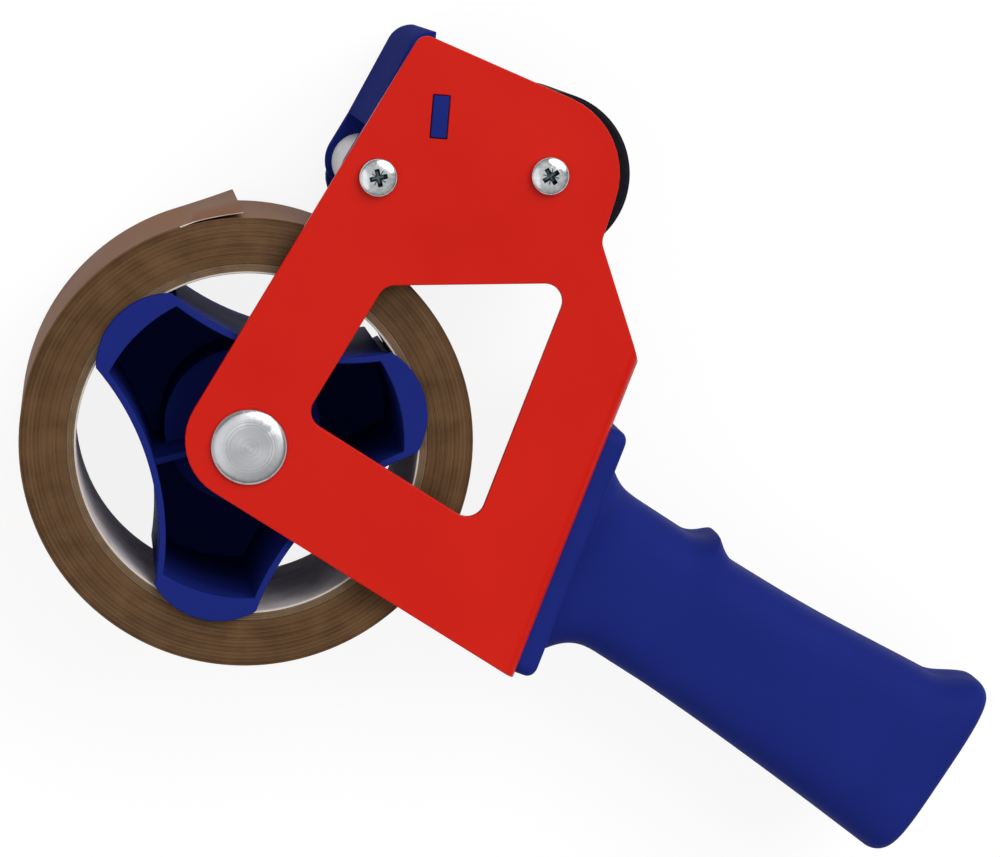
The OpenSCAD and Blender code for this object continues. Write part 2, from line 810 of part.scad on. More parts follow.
module hub() {
    color(blue) difference() {
        union() {
            difference() {
                union() {
                    translate([0, 0, hub_far]) linear_extrude(lip_back - hub_far) lobes(hub_skin_r);
                    translate([0, 0, lip_back]) linear_extrude(lip_t) lobes(hub_lip_r);
                    translate([0, 0, hub_far]) linear_extrude(lip_back - hub_far) intersection() {
                        lobes(rib_top_r);
                        for (a = lobe_angles, k = [-1:1])
                            rotate(a + k * rib_turn) translate([0, -hub_rib_w / 2])
                                square([rib_top_r + cut, hub_rib_w]);
                    }
                }
                translate([0, 0, hub_far + floor_t]) linear_extrude(lip_front)
                    between_waists(hub_wall) circle(hub_skin_r - hub_wall, $fn = 128);
            }
            translate([0, 0, hub_far])
                cylinder(r = recess_r + hub_wall, h = recess_floor + floor_t - hub_far);
            translate([0, 0, recess_floor]) cylinder(r = boss_r, h = boss_near - recess_floor);
            for (a = lobe_angles)
                rotate(a + 60) translate([0, -hub_wall / 2, hub_far])
                    cube([waist_r - hub_wall / 2, hub_wall, lip_back - spoke_drop - hub_far]);
        }
        translate([0, 0, hub_far - cut]) cylinder(r = recess_r, h = recess_floor - hub_far + cut);
        translate([0, 0, hub_far]) cylinder(r = bolt_r + run_fit, h = plate_in);
    }
}

// Paper core and the tape wound on it
module tape_core() {
    color("#b9a58c") translate([0, 0, tape_far]) difference() {
        cylinder(r = core_bore_r + core_wall, h = tape_w, $fn = 128);
        translate([0, 0, -cut]) cylinder(r = core_bore_r, h = tape_w + 2 * cut, $fn = 128);
    }
}

// The free end leaves the roll along a tangent and ends above the hub
tail_end_turn = 90.7;
tail_lap = 2;
tail_turn = acos(roll_r / (roll_r + tail_lift));
tail_len = roll_r * tan(tail_turn);

module tape_roll() {
    color("#6b4f38") translate([0, 0, tape_far]) difference() {
        union() {
            cylinder(r = roll_r, h = tape_w, $fn = 128);
            rotate(tail_end_turn + tail_turn - 90) translate([-tail_lap, roll_r - tail_t, 0])
                cube([tail_len + tail_lap, tail_t, tape_w]);
        }
        translate([0, 0, -cut])
            cylinder(r = core_bore_r + core_wall + wind_gap, h = tape_w + 2 * cut, $fn = 128);
    }
}

side_frame();
handle();
handle_screws();
head_cheek();
blade();
blade_screws();
blade_guard();
guide_axle();
guide_roller();
roller_axle();
roller_core();
roller_sleeve();
head_screws_near();
head_screws_far();
hub_bolt();
hub_nut();
friction_washer();
hub();
tape_core();
tape_roll();
pressure_washer();
brake_spring();
spring_washer();
tension_knob();
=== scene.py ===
import math

import bmesh
import bpy
import numpy as np
from mathutils import Matrix, Vector


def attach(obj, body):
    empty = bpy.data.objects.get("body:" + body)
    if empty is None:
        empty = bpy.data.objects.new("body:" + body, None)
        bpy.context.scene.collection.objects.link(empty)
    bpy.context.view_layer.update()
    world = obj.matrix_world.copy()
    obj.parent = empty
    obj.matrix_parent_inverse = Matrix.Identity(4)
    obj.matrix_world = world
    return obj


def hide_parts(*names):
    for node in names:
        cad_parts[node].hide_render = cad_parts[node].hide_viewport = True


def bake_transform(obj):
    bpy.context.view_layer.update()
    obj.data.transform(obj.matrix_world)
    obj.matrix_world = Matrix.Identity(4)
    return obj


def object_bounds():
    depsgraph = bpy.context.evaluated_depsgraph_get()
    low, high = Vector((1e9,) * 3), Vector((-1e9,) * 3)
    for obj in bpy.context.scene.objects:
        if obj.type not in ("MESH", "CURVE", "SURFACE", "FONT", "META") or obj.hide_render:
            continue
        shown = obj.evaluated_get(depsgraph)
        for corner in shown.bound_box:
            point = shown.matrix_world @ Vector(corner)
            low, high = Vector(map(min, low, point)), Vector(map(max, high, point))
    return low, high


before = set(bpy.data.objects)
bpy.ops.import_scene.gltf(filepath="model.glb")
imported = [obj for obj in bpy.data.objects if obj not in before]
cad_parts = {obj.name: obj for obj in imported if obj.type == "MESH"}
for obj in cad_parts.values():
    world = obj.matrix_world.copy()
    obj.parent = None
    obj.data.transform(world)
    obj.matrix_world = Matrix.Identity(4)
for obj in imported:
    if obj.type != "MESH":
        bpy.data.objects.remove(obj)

cad_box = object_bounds()


# Side frame: 1.5 mm steel sheet, blanked with its window, slot and holes and folded once into
# the cross wall behind the handle. It is coated all over in gloss red paint, which lies a
# little uneven on the flat and thins on the cut edges.
PAINT_RED = (0.605, 0.0105, 0.0032, 1)
PAINT_DEEP_RED = (0.570, 0.0085, 0.0026, 1)
PAINT_GLOSS = 0.13
PAINT_ROUGH = (0.30, 0.40)
PAINT_CLOUD = 0.030
PAINT_PEEL = 0.0009
PEEL_DEPTH = 0.000012
SHEET_EDGE = 0.00025
WELD_REACH = 2e-6
FLAT_WITHIN = math.radians(0.5)
SHARP_FROM = math.radians(40)
BEVEL_STEPS = 2
# How far large faces lead the shading of the rounded edges beside them
FACE_WEIGHT = 80
# The part of a noise pattern's range that most of it lies in
NOISE_MIDDLE = (0.3, 0.7)


def new_finish(name, roughness, metallic=0.0, specular=0.5):
    """A material with one Principled shader, and that shader; roughen may vary its roughness."""
    finish = bpy.data.materials.new(name)
    finish.use_nodes = True
    shader = finish.node_tree.nodes["Principled BSDF"]
    shader.inputs["Roughness"].default_value = roughness
    shader.inputs["Metallic"].default_value = metallic
    shader.inputs["Specular IOR Level"].default_value = specular
    return finish, shader


def mottle(finish, size, detail, stretch=(1, 1, 1)):
    """Noise with features of about that size in metres, in the part's own frame."""
    tree = finish.node_tree
    place = tree.nodes.new("ShaderNodeTexCoord")
    scale = tree.nodes.new("ShaderNodeMapping")
    scale.inputs["Scale"].default_value = [s / size for s in stretch]
    noise = tree.nodes.new("ShaderNodeTexNoise")
    noise.inputs["Scale"].default_value = 1
    noise.inputs["Detail"].default_value = detail
    tree.links.new(place.outputs["Object"], scale.inputs["Vector"])
    tree.links.new(scale.outputs["Vector"], noise.inputs["Vector"])
    return noise.outputs["Fac"]


def tint(finish, pattern, dark, pale, middle=NOISE_MIDDLE):
    """Colours from dark to pale over the middle of a pattern's range."""
    ramp = finish.node_tree.nodes.new("ShaderNodeValToRGB")
    for element, place, colour in zip(ramp.color_ramp.elements, middle, (dark, pale)):
        element.position = place
        element.color = colour
    finish.node_tree.links.new(pattern, ramp.inputs["Fac"])
    return ramp.outputs["Color"]


def paint(finish, shader, colour):
    """Lets the finish take its colour from a pattern."""
    finish.node_tree.links.new(colour, shader.inputs["Base Color"])


def roughen(finish, shader, pattern, low, high):
    """Lets the roughness run from low to high over the middle of a pattern's range."""
    scale = finish.node_tree.nodes.new("ShaderNodeMapRange")
    scale.inputs["From Min"].default_value = NOISE_MIDDLE[0]
    scale.inputs["From Max"].default_value = NOISE_MIDDLE[1]
    scale.inputs["To Min"].default_value = low
    scale.inputs["To Max"].default_value = high
    finish.node_tree.links.new(pattern, scale.inputs["Value"])
    finish.node_tree.links.new(scale.outputs["Result"], shader.inputs["Roughness"])


def relief(finish, shader, pattern, depth):
    """Raises the surface by the pattern, depth metres from its lowest to its highest."""
    bump = finish.node_tree.nodes.new("ShaderNodeBump")
    bump.inputs["Distance"].default_value = depth
    bump.inputs["Strength"].default_value = 1
    finish.node_tree.links.new(pattern, bump.inputs["Height"])
    finish.node_tree.links.new(bump.outputs["Normal"], shader.inputs["Normal"])


def soft_edges(node, radius):
    """Rounds a CAD node's sharp edges by modifiers, which leave its mesh as it is."""
    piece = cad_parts[node]
    piece.modifiers.new("join_faces", "WELD").merge_threshold = WELD_REACH
    flat = piece.modifiers.new("whole_faces", "DECIMATE")
    flat.decimate_type = "DISSOLVE"
    flat.angle_limit = FLAT_WITHIN
    edge = piece.modifiers.new("round_edges", "BEVEL")
    edge.width = radius
    edge.segments = BEVEL_STEPS
    edge.limit_method = "ANGLE"
    edge.angle_limit = SHARP_FROM
    edge.use_clamp_overlap = False
    piece.modifiers.new("join_corners", "WELD").merge_threshold = WELD_REACH
    piece.modifiers.new("even_shading", "WEIGHTED_NORMAL").weight = FACE_WEIGHT


def dress(node, finish):
    """Gives a CAD node its finish."""
    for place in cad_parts[node].material_slots:
        place.material = finish


red_paint, shader = new_finish("red_paint", 0.34, specular=PAINT_GLOSS)
cloud = mottle(red_paint, PAINT_CLOUD, 3)
paint(red_paint, shader, tint(red_paint, cloud, PAINT_DEEP_RED, PAINT_RED))
roughen(red_paint, shader, cloud, *PAINT_ROUGH)
relief(red_paint, shader, mottle(red_paint, PAINT_PEEL, 1), PEEL_DEPTH)
soft_edges("side_frame", SHEET_EDGE)
dress("side_frame", red_paint)


# Handle: a blue moulded pistol grip in one piece with its base flange, screwed to the cross
# wall. It has a finger ridge, a lip at the butt, a fillet where it leaves the flange and a
# fine parting line round its middle plane.
PLASTIC_BLUE = (0.0115, 0.0220, 0.1870, 1)
PLASTIC_DEEP_BLUE = (0.0100, 0.0195, 0.1700, 1)
PLASTIC_GLOSS = 0.03
PLASTIC_ROUGH = (0.55, 0.65)
PLASTIC_CLOUD = 0.020
MOULD_GRAIN = 0.00035
GRAIN_DEPTH = 0.000020
FOLD_TOP = Vector((0.0875, 0.0176))
FOLD_LEAN = math.radians(21.4)
FOLD_LEN = 0.0773
GRIP_LEAN = math.radians(33.7)
GRIP_LEN = 0.1095
GRIP_OFFSET = 0.0003
GRIP_T = 0.030
NECK_W = 0.035
BUTT_W = 0.0435
TAPER = (0.036, 0.105)
TAPER_POWER = 1.4
# Power of the rounded sections: 2 would be an ellipse, and more is squarer
SECTION_POWER = 3.6
RIDGE_AT = 0.0334
RIDGE_RISE = 0.0065
RIDGE_FALL = 0.008
RIDGE_H = 0.0037
CREST_ROUND = 0.0004
# Share by which the ridge swells the flanks, and where on the way up to it that starts
RIDGE_SWELL = 0.06
SWELL_FROM = 0.35
FINGER_HOLLOW = 0.0004
BUTT_LIP_FROM = GRIP_LEN - 0.0145
BUTT_LIP_REACH = 0.012
BUTT_LIP = 0.0041
BUTT_ROUND = 0.0045
BUTT_INSET = 0.0041
BUTT_STEPS = 12
# Share of the butt's rounding that its finger side has
LIP_SHARE = 0.7
GRIP_FROM = -0.008
GRIP_STEP = 0.0007
ROOT_FILLET = 0.006
# Shares of the root's fillet on the finger side and on the flanks
FINGER_FILLET = 0.4
FLANK_FILLET = 0.7
PALM_REACH = 0.008
PALM_LIMIT = 0.010
FLANGE_T = 0.005
FLANGE_LEN = 0.060
FLANGE_W = 0.050
FLANGE_MARGIN = 0.0008
FLANGE_CORNER = 0.003
FLANGE_RIM = 0.0022
FLANGE_STEPS = 6
PARTING_W = 0.0003
PARTING_DEPTH = 0.00012
# Points round a quarter of a section, by their way from the parting line in widths of it: the
# single ones, the reach of the cut, and where the even ones start
SEAM_POINTS = (0.5, 1, 2.5)
CUT_REACH = 0.75
EVEN_FROM = 5
EVEN_POINTS = 24
FINE_POINTS = 400
MID_Z = 0.0305

fold_dir = Vector((-math.sin(FOLD_LEAN), -math.cos(FOLD_LEAN)))
fold_out = Vector((math.cos(FOLD_LEAN), -math.sin(FOLD_LEAN)))
grip_axis = Vector((math.cos(GRIP_LEAN), -math.sin(GRIP_LEAN)))
finger_dir = Vector((math.sin(GRIP_LEAN), math.cos(GRIP_LEAN)))
flange_from = FOLD_LEN - FLANGE_LEN - FLANGE_MARGIN
grip_root = FOLD_TOP + (flange_from + FLANGE_LEN / 2) * fold_dir + GRIP_OFFSET * finger_dir


def smooth_step(t):
    """From 0 to 1 with a level start and end."""
    t = min(1.0, max(0.0, t))
    return t * t * (3 - 2 * t)


def ridge_share(a):
    """Height of the finger ridge, from 0 beside it to 1 along its crest."""
    past = a - RIDGE_AT
    off_crest = math.hypot(past, CREST_ROUND) - CREST_ROUND
    return max(0.0, 1 - off_crest / (RIDGE_RISE if past < 0 else RIDGE_FALL)) ** 2


def root_fillet(a):
    """How far the fillet at the flange stands off the grip."""
    return ROOT_FILLET * max(0.0, 1 - (a - FLANGE_T) / (2 * ROOT_FILLET)) ** 3


def grip_widths(a):
    """Half widths on the finger side, the palm side and the flanks, a metres from the wall."""
    t = min(1.0, max(0.0, (a - TAPER[0]) / (TAPER[1] - TAPER[0])))
    body = (NECK_W + (BUTT_W - NECK_W) * t ** TAPER_POWER) / 2
    along = (2 * a - RIDGE_AT - BUTT_LIP_FROM) / (BUTT_LIP_FROM - RIDGE_AT)
    hollow = FINGER_HOLLOW * (1 + math.cos(math.pi * along)) / 2 if abs(along) < 1 else 0.0
    lip = BUTT_LIP * smooth_step((a - BUTT_LIP_FROM) / BUTT_LIP_REACH)
    finger = body + FINGER_FILLET * root_fillet(a) + RIDGE_H * ridge_share(a) - hollow + lip
    palm = body + min(PALM_LIMIT, root_fillet(a - PALM_REACH))
    flank = GRIP_T / 2 + FLANK_FILLET * root_fillet(max(a, FLANGE_T))
    return finger, palm, flank


def grip_turns():
    """Turning angles round a section, evenly spaced along it and close by the parting line."""
    fine = np.linspace(0, math.pi / 2, FINE_POINTS)
    y = NECK_W / 2 * np.cos(fine) ** (2 / SECTION_POWER)
    z = GRIP_T / 2 * np.sin(fine) ** (2 / SECTION_POWER)
    run = np.concatenate([[0], np.cumsum(np.hypot(np.diff(y), np.diff(z)))])
    by_seam = [PARTING_W * k for k in SEAM_POINTS]
    even = np.linspace(EVEN_FROM * PARTING_W, run[-1], EVEN_POINTS)
    quarter = [0.0] + [float(np.interp(x, run, fine)) for x in by_seam + list(even)]
    half = quarter + [math.pi - t for t in quarter[-2::-1]]
    return half + [2 * math.pi - t for t in half[-2:0:-1]]


def grip_ring(a, inset, turns):
    """One section of the grip, drawn in by inset, with the parting line cut into it."""
    finger, palm, flank = grip_widths(a)
    ring = []
    for t in turns:
        c, s = math.cos(t), math.sin(t)
        side = finger - LIP_SHARE * inset if c > 0 else palm - inset
        y = math.copysign(abs(c) ** (2 / SECTION_POWER), c) * side
        z = math.copysign(abs(s) ** (2 / SECTION_POWER), s) * (flank - inset)
        if abs(z) < CUT_REACH * PARTING_W:
            y -= math.copysign(PARTING_DEPTH, y)
        by_ridge = smooth_step((y / finger - SWELL_FROM) / (1 - SWELL_FROM))
        z *= 1 + RIDGE_SWELL * ridge_share(a) * by_ridge
        spot = grip_root + a * grip_axis + y * finger_dir
        ring.append((spot.x, spot.y, MID_Z + z))
    return ring


def skin(rings):
    """A closed tube through rings that all have the same number of points."""
    mesh = bmesh.new()
    rows = [[mesh.verts.new(p) for p in ring] for ring in rings]
    count = len(rows[0])
    for low, high in zip(rows, rows[1:]):
        for i in range(count):
            k = (i + 1) % count
            mesh.faces.new((low[i], low[k], high[k], high[i]))
    mesh.faces.new(list(reversed(rows[0])))
    mesh.faces.new(rows[-1])
    bmesh.ops.recalc_face_normals(mesh, faces=mesh.faces)
    return mesh


def piece_from(mesh, name, finish):
    """A shown object made of a bmesh, shaded smooth up to its sharp edges."""
    data = bpy.data.meshes.new(name)
    mesh.to_mesh(data)
    mesh.free()
    data.polygons.foreach_set("use_smooth", [True] * len(data.polygons))
    data.set_sharp_from_angle(angle=SHARP_FROM)
    data.materials.append(finish)
    piece = bpy.data.objects.new(name, data)
    bpy.context.scene.collection.objects.link(piece)
    return piece


def combine(piece, other, operation):
    """Joins another object to a piece or cuts it out, and keeps the result only."""
    step = piece.modifiers.new("combine", "BOOLEAN")
    step.operation = operation
    step.solver = "EXACT"
    step.material_mode = "TRANSFER"
    step.object = other
    bpy.context.view_layer.update()
    shown = piece.evaluated_get(bpy.context.evaluated_depsgraph_get())
    result = bpy.data.meshes.new_from_object(shown)
    piece.modifiers.clear()
    piece.data = result
    result.set_sharp_from_angle(angle=SHARP_FROM)
    bpy.data.objects.remove(other)


def moulded_blue(name, gloss):
    """Blue plastic with the fine grain of its mould, more or less glossy."""
    finish, shader = new_finish(name, 0.6, specular=gloss)
    cloud = mottle(finish, PLASTIC_CLOUD, 3)
    paint(finish, shader, tint(finish, cloud, PLASTIC_DEEP_BLUE, PLASTIC_BLUE))
    roughen(finish, shader, cloud, *PLASTIC_ROUGH)
    relief(finish, shader, mottle(finish, MOULD_GRAIN, 2), GRAIN_DEPTH)
    return finish


blue_plastic = moulded_blue("blue_plastic", PLASTIC_GLOSS)

butt_from = GRIP_LEN - BUTT_ROUND
grip_steps = [(float(a), 0.0) for a in np.union1d(np.arange(GRIP_FROM, butt_from, GRIP_STEP), [RIDGE_AT])]
for step in range(BUTT_STEPS + 1):
    t = math.radians(90 * step / BUTT_STEPS)
    grip_steps.append((butt_from + BUTT_ROUND * math.sin(t), BUTT_INSET * (1 - math.cos(t))))
turns = grip_turns()
grip = skin([grip_ring(a, inset, turns) for a, inset in grip_steps])
cut_at = FOLD_TOP + FLANGE_T / 2 * fold_out
rim = bmesh.ops.bisect_plane(
    grip, geom=grip.verts[:] + grip.edges[:] + grip.faces[:], plane_co=(cut_at.x, cut_at.y, 0),
    plane_no=(fold_out.x, fold_out.y, 0), clear_inner=True)
bmesh.ops.holes_fill(grip, edges=[e for e in rim["geom_cut"] if isinstance(e, bmesh.types.BMEdge)])
bmesh.ops.recalc_face_normals(grip, faces=grip.faces)
handle = piece_from(grip, "handle_grip", blue_plastic)

flange = bmesh.new()
bmesh.ops.create_cube(flange, size=1)
bmesh.ops.scale(flange, vec=(FLANGE_LEN, FLANGE_T, FLANGE_W), verts=flange.verts)
across = [e for e in flange.edges if abs(e.verts[0].co.y - e.verts[1].co.y) > FLANGE_T / 2]
bmesh.ops.bevel(flange, geom=across, offset=FLANGE_CORNER, segments=FLANGE_STEPS, profile=0.5, affect="EDGES")
outer_rim = [e for e in flange.edges if all(v.co.y > 0 for v in e.verts)]
bmesh.ops.bevel(flange, geom=outer_rim, offset=FLANGE_RIM, segments=FLANGE_STEPS, profile=0.5, affect="EDGES")
middle = FOLD_TOP + (flange_from + FLANGE_LEN / 2) * fold_dir + FLANGE_T / 2 * fold_out
bmesh.ops.transform(
    flange, verts=flange.verts,
    matrix=Matrix(((fold_dir.x, fold_out.x, 0, middle.x), (fold_dir.y, fold_out.y, 0, middle.y),
                   (0, 0, -1, MID_Z), (0, 0, 0, 1))))
bmesh.ops.recalc_face_normals(flange, faces=flange.faces)
combine(handle, piece_from(flange, "handle_flange", blue_plastic), "UNION")
handle.modifiers.new("even_shading", "WEIGHTED_NORMAL").keep_sharp = True
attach(handle, "frame")
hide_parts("handle")


# Screws: zinc-plated pan heads, pressed with a cross recess that has a fine mark between its
# arms; the recess and the marks are dull, and painted dark as painted shade. Four hold the handle,
# two the blade, and each of the head's axles has one at either end; the far ones lie in counterbores.
ZINC_PALE = (0.72, 0.74, 0.75, 1)
ZINC_GREY = (0.50, 0.53, 0.54, 1)
ZINC_MIDDLE = (0.3, 0.65)
ZINC_ROUGH = (0.10, 0.24)
ZINC_CLOUD = 0.0011
ZINC_GRAIN = 0.0006
ZINC_DEPTH = 0.000012
ZINC_BRUSHED = 0.45
QUARTER_TURN = 0.25
# Colours of the recess and its marks, darker than the heads: painted shade
RECESS_SHADE_GREY = (0.150, 0.190, 0.205, 1)
RECESS_SHADE_DARK = (0.060, 0.084, 0.093, 1)
RECESS_MIDDLE = (0.35, 0.65)
RECESS_ROUGH = 0.4
RECESS_CLOUD = 0.0009
PLATE_OUT = 0.0585
SHEET_T = 0.0015
GUIDE_AT = Vector((0.0290, 0.0595))
ROLLER_AT = Vector((0.0672, 0.0595))
HEAD_SCREW = {"shank_r": 0.0020, "shank_len": 0.0105, "head_r": 0.0043, "head_h": 0.0022}
FAR_SCREW = {"shank_r": 0.0020, "shank_len": 0.0107, "head_r": 0.0043, "head_h": 0.0022}
HANDLE_SCREW = {"shank_r": 0.0021, "shank_len": 0.0145, "head_r": 0.0043, "head_h": 0.0022}
BLADE_SCREW = {"shank_r": 0.0014, "shank_len": 0.0038, "head_r": 0.0026, "head_h": 0.0014}
FAR_HEAD_Z = 0.0023
HANDLE_SCREW_FROM = 0.0195
HANDLE_SCREW_PITCH = 0.026
HANDLE_SCREW_SPREAD = 0.018
WEB_AT = Vector((0.0428, 0.0727))
WEB_LEAN = math.radians(5)
BLADE_SCREW_OUT = 0.0025
BLADE_SCREW_UP = 0.00682
BLADE_SCREW_SPREAD = 0.032
# Shares of the head's height at its rim and under its dome, and how full the dome is
RIM_SHARE = 0.3
DOME_FROM = 0.35
DOME_POWER = 0.62
DOME_END = math.radians(88)
DOME_STEPS = 14
# Shares of the shank's length and radius at its point
POINT_FROM = 0.9
POINT_R = 0.6
# Shares of the head's radius and height that the recess takes, and its narrowing to its floor
RECESS_REACH = 0.50
RECESS_HALF_W = 0.14
RECESS_DEPTH = 0.75
RECESS_TOP = 1.1
FLOOR_REACH = 0.62
FLOOR_W = 0.4
# The marks between the arms, as shares of the recess's reach and of the head
MARK_REACH = 0.85
MARK_HALF_W = 0.03
MARK_DEPTH = 0.16
MARK_TOP = 1.2


def lathe(profile, count=64):
    """A solid turned round Z from (radius, height) pairs, from its top to its foot.

    Its UV map runs round the turning, so that a finish can follow the tool marks.
    """
    mesh = bmesh.new()
    turning = mesh.loops.layers.uv.new("turning")
    rows = []
    for r, z in profile:
        if r == 0:
            rows.append([mesh.verts.new((0, 0, z))])
        else:
            angles = [2 * math.pi * i / count for i in range(count)]
            rows.append([mesh.verts.new((r * math.cos(t), r * math.sin(t), z)) for t in angles])
    for step, (low, high) in enumerate(zip(rows, rows[1:])):
        for i in range(count):
            k = (i + 1) % count
            ring = [low[i % len(low)], low[k % len(low)], high[k % len(high)], high[i % len(high)]]
            marks = dict(zip(ring, ((i, step), (i + 1, step), (i + 1, step + 1), (i, step + 1))))
            for loop in mesh.faces.new(list(marks)).loops:
                loop[turning].uv = (marks[loop.vert][0] / count, marks[loop.vert][1] / len(rows))
    bmesh.ops.recalc_face_normals(mesh, faces=mesh.faces)
    return mesh


def cross_ring(reach, half_w, z):
    """Outline of a cross with four arms."""
    arm = [(reach, -half_w), (reach, half_w), (half_w, half_w)]
    return [(x * c - y * s, x * s + y * c, z)
            for c, s in ((1, 0), (0, 1), (-1, 0), (0, -1)) for x, y in arm]


def pan_screw(shank_r, shank_len, head_r, head_h):
    """One screw, with the underside of its head at Z = 0."""
    dome = [(head_r * math.sin(t), head_h * (DOME_FROM + (1 - DOME_FROM) * math.cos(t) ** DOME_POWER))
            for t in np.linspace(0, DOME_END, DOME_STEPS)]
    rim = [(head_r, RIM_SHARE * head_h), (head_r, 0)]
    shank = [(shank_r, 0), (shank_r, -POINT_FROM * shank_len)]
    point = [(POINT_R * shank_r, -shank_len), (0, -shank_len)]
    screw = piece_from(lathe(dome + rim + shank + point), "screw", zinc)
    reach, half_w = RECESS_REACH * head_r, RECESS_HALF_W * head_r
    floor = cross_ring(FLOOR_REACH * reach, FLOOR_W * half_w, (1 - RECESS_DEPTH) * head_h)
    arms = skin([floor, cross_ring(reach, half_w, RECESS_TOP * head_h)])
    combine(screw, piece_from(arms, "arms", recess_painted_shade), "DIFFERENCE")
    marks = skin([cross_ring(MARK_REACH * reach, MARK_HALF_W * head_r, high * head_h)
                  for high in (1 - MARK_DEPTH, MARK_TOP)])
    bmesh.ops.rotate(marks, verts=marks.verts, matrix=Matrix.Rotation(math.radians(45), 3, "Z"))
    combine(screw, piece_from(marks, "marks", recess_painted_shade), "DIFFERENCE")
    return screw


def drive_screws(node, sizes, places):
    """Sets screws of one size, shown for the node, at (foot of the head, way it faces, turn)."""
    pattern = pan_screw(**sizes)
    mesh = bmesh.new()
    for spot, way, turn in places:
        one = pattern.data.copy()
        facing = Vector(way).to_track_quat("Z", "Y").to_matrix().to_4x4()
        one.transform(Matrix.Translation(spot) @ facing @ Matrix.Rotation(math.radians(turn), 4, "Z"))
        mesh.from_mesh(one)
        bpy.data.meshes.remove(one)
    bpy.data.objects.remove(pattern)
    screws = piece_from(mesh, node + "_turned", zinc)
    screws.data.materials.append(recess_painted_shade)
    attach(screws, "frame")
    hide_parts(node)


zinc, shader = new_finish("zinc_plate", 0.26, metallic=1.0)
cloud = mottle(zinc, ZINC_CLOUD, 3)
paint(zinc, shader, tint(zinc, cloud, ZINC_GREY, ZINC_PALE, ZINC_MIDDLE))
roughen(zinc, shader, cloud, *ZINC_ROUGH)
relief(zinc, shader, mottle(zinc, ZINC_GRAIN, 2), ZINC_DEPTH)
shader.inputs["Anisotropic"].default_value = ZINC_BRUSHED
shader.inputs["Anisotropic Rotation"].default_value = QUARTER_TURN
tool_marks = zinc.node_tree.nodes.new("ShaderNodeTangent")
tool_marks.direction_type = "UV_MAP"
tool_marks.uv_map = "turning"
zinc.node_tree.links.new(tool_marks.outputs["Tangent"], shader.inputs["Tangent"])

# Darker zinc for the recess and the marks between its arms: painted shade in the hollows of the heads
recess_painted_shade, shader = new_finish("recess_painted_shade", RECESS_ROUGH, metallic=1.0)
cloud = mottle(recess_painted_shade, RECESS_CLOUD, 2)
paint(recess_painted_shade, shader, tint(recess_painted_shade, cloud, RECESS_SHADE_DARK, RECESS_SHADE_GREY, RECESS_MIDDLE))

drive_screws("head_screws_near", HEAD_SCREW, [
    ((GUIDE_AT.x, GUIDE_AT.y, PLATE_OUT), (0, 0, 1), 12),
    ((ROLLER_AT.x, ROLLER_AT.y, PLATE_OUT), (0, 0, 1), 32)])
drive_screws("head_screws_far", FAR_SCREW, [
    ((GUIDE_AT.x, GUIDE_AT.y, FAR_HEAD_Z), (0, 0, -1), 70),
    ((ROLLER_AT.x, ROLLER_AT.y, FAR_HEAD_Z), (0, 0, -1), 25)])
places = []
for i in (0, 1):
    down = flange_from + HANDLE_SCREW_FROM + i * HANDLE_SCREW_PITCH
    spot = FOLD_TOP + down * fold_dir - SHEET_T * fold_out
    for side in (-0.5, 0.5):
        places.append(((spot.x, spot.y, MID_Z + side * HANDLE_SCREW_SPREAD),
                       (-fold_out.x, -fold_out.y, 0), 55 + 80 * i + 50 * side))
drive_screws("handle_screws", HANDLE_SCREW, places)
web_out = Vector((-math.cos(WEB_LEAN), math.sin(WEB_LEAN)))
web_up = Vector((math.sin(WEB_LEAN), math.cos(WEB_LEAN)))
spot = WEB_AT + BLADE_SCREW_OUT * web_out + BLADE_SCREW_UP * web_up
drive_screws("blade_screws", BLADE_SCREW, [
    ((spot.x, spot.y, MID_Z + side * BLADE_SCREW_SPREAD), (web_out.x, web_out.y, 0), 40 * side)
    for side in (-0.5, 0.5)])


# Hub bolt: a steel bolt with a low domed head on the side plate, turned, so fine rings run
# round it, and clamped by a thin nut inside. A steel washer runs between that nut and the hub.
TURNED_PALE = (0.60, 0.61, 0.63, 1)
TURNED_GREY = (0.52, 0.53, 0.55, 1)
TURNED_MIDDLE = (0.35, 0.65)
TURNED_ROUGH = (0.25, 0.35)
TURNED_BRUSHED = 0.6
TURNING_PITCH = 0.00035
TURNING_DEPTH = 0.000004
BOLT_EDGE = 0.00025


def rings(finish, size):
    """Noise that runs in rings round the hub axis, with features of about that size."""
    tree = finish.node_tree
    place = tree.nodes.new("ShaderNodeTexCoord")
    flat = tree.nodes.new("ShaderNodeVectorMath")
    flat.operation = "MULTIPLY"
    flat.inputs[1].default_value = (1 / size, 1 / size, 0)
    far = tree.nodes.new("ShaderNodeVectorMath")
    far.operation = "LENGTH"
    noise = tree.nodes.new("ShaderNodeTexNoise")
    noise.noise_dimensions = "1D"
    noise.inputs["Scale"].default_value = 1
    noise.inputs["Detail"].default_value = 2
    tree.links.new(place.outputs["Object"], flat.inputs[0])
    tree.links.new(flat.outputs["Vector"], far.inputs[0])
    tree.links.new(far.outputs["Value"], noise.inputs["W"])
    return noise.outputs["Fac"]


turned_zinc, shader = new_finish("turned_zinc", 0.3, metallic=1.0)
shader.inputs["Anisotropic"].default_value = TURNED_BRUSHED
grooves = rings(turned_zinc, TURNING_PITCH)
paint(turned_zinc, shader, tint(turned_zinc, grooves, TURNED_GREY, TURNED_PALE, TURNED_MIDDLE))
roughen(turned_zinc, shader, grooves, *TURNED_ROUGH)
relief(turned_zinc, shader, grooves, TURNING_DEPTH)
for node in ("hub_bolt", "hub_nut", "friction_washer"):
    soft_edges(node, BOLT_EDGE)
    dress(node, turned_zinc)


# Hub: a blue moulding with three hollow lobes, open towards the side plate. Ribs along the
# lobes carry the core, and a lip at the open end stops it.
HUB_EDGE = 0.0003

soft_edges("hub", HUB_EDGE)
dress("hub", blue_plastic)


